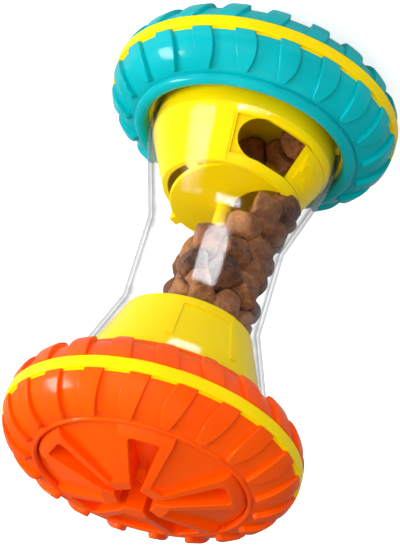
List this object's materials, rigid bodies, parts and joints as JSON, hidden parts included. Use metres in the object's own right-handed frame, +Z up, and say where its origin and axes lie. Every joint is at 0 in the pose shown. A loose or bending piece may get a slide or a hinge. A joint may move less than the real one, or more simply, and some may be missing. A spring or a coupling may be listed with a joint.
{
  "type": "treat dispenser",
  "caption": "Tumbling treat dispenser: clear hourglass body with sloped chute and sliding outlet shutter between lugged tyre-shaped ends; the upper end twists and lifts off for filling",
  "frame": {"origin": "Centre of the bounding box's base: on the axis of the body, in the plane of the lands on the teal hub cap that it stands on.", "axes": "+Z runs up the body's axis from the teal end to the orange end; the outlet window faces -Y, about 27 degrees towards -X."},
  "size_m": [0.11, 0.11, 0.195],
  "materials": {
    "clear_plastic": "clear polished plastic",
    "yellow_plastic": "glossy moulded plastic",
    "teal_plastic": "satin moulded plastic",
    "orange_plastic": "satin moulded plastic",
    "steel": "zinc-plated screws"
  },
  "bodies": {
    "clear_end": {"clear_body": "clear_plastic", "teal_funnel": "yellow_plastic", "chute_plate": "yellow_plastic", "teal_funnel_screws": "steel", "teal_core": "yellow_plastic", "teal_tread_ring": "yellow_plastic", "teal_inner_tyre": "teal_plastic", "teal_outer_tyre": "teal_plastic", "teal_hub_cap": "teal_plastic", "teal_inner_screws": "steel", "teal_outer_screws": "steel"},
    "shutter": {"outlet_shutter": "yellow_plastic"},
    "orange_plug": {"orange_funnel": "yellow_plastic", "orange_funnel_cover": "yellow_plastic", "orange_pivot_screw": "steel"},
    "orange_wheel": {"orange_core": "yellow_plastic", "orange_tread_ring": "yellow_plastic", "orange_inner_tyre": "orange_plastic", "orange_outer_tyre": "orange_plastic", "orange_hub_cap": "orange_plastic", "orange_inner_screws": "steel", "orange_outer_screws": "steel"}
  },
  "joints": [
    {"name": "shutter_slide", "type": "hinge", "parent": "clear_end", "child": "shutter", "pos_m": [0, 0, 0.0545], "axis": [0, 0, 1], "range_deg": [-4, 52]},
    {"name": "orange_lift", "type": "slide", "parent": "clear_end", "child": "orange_plug", "axis": [0, 0, 1], "range_m": [0, 0.05]},
    {"name": "orange_lock", "type": "hinge", "parent": "orange_plug", "child": "orange_wheel", "pos_m": [0, 0, 0.1716], "axis": [0, 0, -1], "range_deg": [0, 40]}
  ]
}
